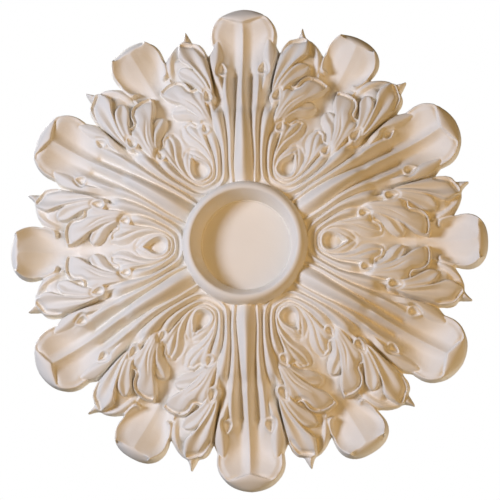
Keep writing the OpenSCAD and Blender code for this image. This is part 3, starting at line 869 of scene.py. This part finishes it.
def plaster():
    """Matt plaster: two close creams drifting into each other, and a fine grain in the bump."""
    mat = bpy.data.materials.new("plaster")
    mat.use_nodes = True
    tree = mat.node_tree
    tree.nodes.clear()
    node, link = tree.nodes.new, tree.links.new
    out = node("ShaderNodeOutputMaterial")
    shader = node("ShaderNodeBsdfPrincipled")
    shader.inputs["Roughness"].default_value = 0.62
    shader.inputs["Specular IOR Level"].default_value = 0.35
    link(shader.outputs[0], out.inputs[0])
    coords = node("ShaderNodeTexCoord")
    ramp = node("ShaderNodeValToRGB")
    ramp.color_ramp.elements[0].position = 0.3
    ramp.color_ramp.elements[0].color = CREAM_LOW
    ramp.color_ramp.elements[1].position = 0.7
    ramp.color_ramp.elements[1].color = CREAM_HIGH
    link(noise(tree, coords, scale=9, detail=5), ramp.inputs[0])
    link(ramp.outputs[0], shader.inputs["Base Color"])
    grain = node("ShaderNodeBump")
    grain.inputs["Strength"].default_value = 0.12
    grain.inputs["Distance"].default_value = 0.001
    link(noise(tree, coords, scale=420, detail=4), grain.inputs["Height"])
    link(grain.outputs[0], shader.inputs["Normal"])
    return mat


rose = rose_object()
rose.data.materials.append(plaster())
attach(rose, "root")
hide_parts("ceiling_rose")

# ---- floor, light, camera ---------------------------------------------------------
FLOOR_Z = -3.2
FLOOR_HALF = 20.0
PALE = (0.86, 0.85, 0.84, 1)
# How brightly the floor shows, and what it throws back up at the carving
FLOOR_GLOW = 0.55
FLOOR_BOUNCE = (0.12, 0.12, 0.12, 1)
# The room's warm dim light, and the white behind the rose
ROOM = (1.0, 0.84, 0.60, 1)
ROOM_STRENGTH = 0.12
WHITE = (1, 1, 1, 1)
# The carving's middle, which the lights point at
MIDDLE = Vector((0, 0, -0.03))


def shown_apart(tree, to_light, to_camera, surface):
    """One shader for the light that bounces about, another for what the camera sees."""
    ray = tree.nodes.new("ShaderNodeLightPath")
    mix = tree.nodes.new("ShaderNodeMixShader")
    tree.links.new(ray.outputs["Is Camera Ray"], mix.inputs[0])
    tree.links.new(to_light.outputs[0], mix.inputs[1])
    tree.links.new(to_camera.outputs[0], mix.inputs[2])
    tree.links.new(mix.outputs[0], surface)


def pale_floor():
    """A plain pale floor that throws little light back up, so the carving keeps its modelling."""
    g = FLOOR_HALF
    me = bpy.data.meshes.new("floor")
    corners = [(-g, -g, FLOOR_Z), (g, -g, FLOOR_Z), (g, g, FLOOR_Z), (-g, g, FLOOR_Z)]
    me.from_pydata(corners, [], [(0, 1, 2, 3)])
    ob = bpy.data.objects.new("floor", me)
    bpy.context.scene.collection.objects.link(ob)
    mat = bpy.data.materials.new("pale_floor")
    mat.use_nodes = True
    tree = mat.node_tree
    shown = tree.nodes["Principled BSDF"]
    shown.inputs["Base Color"].default_value = PALE
    shown.inputs["Roughness"].default_value = 0.9
    shown.inputs["Emission Color"].default_value = PALE
    shown.inputs["Emission Strength"].default_value = FLOOR_GLOW
    quiet = tree.nodes.new("ShaderNodeBsdfDiffuse")
    quiet.inputs["Color"].default_value = FLOOR_BOUNCE
    shown_apart(tree, quiet, shown, tree.nodes["Material Output"].inputs["Surface"])
    me.materials.append(mat)
    return ob


def background(tree, colour, strength):
    """A background shader."""
    b = tree.nodes.new("ShaderNodeBackground")
    b.inputs["Color"].default_value = colour
    b.inputs["Strength"].default_value = strength
    return b


def studio_world():
    """Dim warm light from all round, and plain white behind the rose."""
    world = bpy.data.worlds.new("studio")
    world.use_nodes = True
    tree = world.node_tree
    tree.nodes.clear()
    out = tree.nodes.new("ShaderNodeOutputWorld")
    room = background(tree, ROOM, ROOM_STRENGTH)
    shown_apart(tree, room, background(tree, WHITE, 1.0), out.inputs["Surface"])
    return world


def area(name, at, size, power, colour):
    """A round soft light that the camera doesn't see, aimed at the rose."""
    d = bpy.data.lights.new(name, "AREA")
    d.shape = "DISK"
    d.size = size
    d.energy = power
    d.color = colour
    o = bpy.data.objects.new(name, d)
    o.location = at
    o.rotation_euler = (MIDDLE - Vector(at)).to_track_quat("-Z", "Y").to_euler()
    o.visible_camera = False
    bpy.context.scene.collection.objects.link(o)


def slanted_camera():
    """The camera: almost straight up at the rose, tilted a little to one side."""
    tilt, towards, roll = radians(9.5), radians(60), radians(1.0)
    distance = 2.9
    # Metres across the picture at the rose
    seen = 0.6205
    aim = Vector((0.0049, 0.0066, -0.03))
    cam = bpy.data.objects.new("camera", bpy.data.cameras.new("camera"))
    bpy.context.scene.collection.objects.link(cam)
    away = Vector((sin(tilt) * cos(towards), sin(tilt) * sin(towards), -cos(tilt)))
    right = (-away).cross(Vector((sin(roll), -cos(roll), 0))).normalized()
    up = right.cross(-away)
    turn = Matrix((right, up, away)).transposed().to_4x4()
    turn.translation = aim + away * distance
    cam.matrix_world = turn
    cam.data.sensor_width = 36
    cam.data.lens = cam.data.sensor_width * distance / seen
    cam.data.clip_end = 60
    return cam


floor = pale_floor()
area("key", (-2.13, -0.27, -2.04), 0.9, 75, (0.73, 0.80, 1.04))
area("fill", (1.5, 0.6, -2.25), 2.8, 34, (1.0, 0.62, 0.22))
# the back is lit from above, which leaves the carved face alone
area("back key", (-1.7, -1.3, 1.9), 0.9, 80, (1.0, 0.97, 0.93))
area("back fill", (1.6, 1.5, 1.6), 2.4, 34, (1.0, 0.95, 0.88))
bpy.context.scene.world = studio_world()
bpy.context.scene.view_settings.view_transform = "Standard"
bpy.context.scene.camera = slanted_camera()
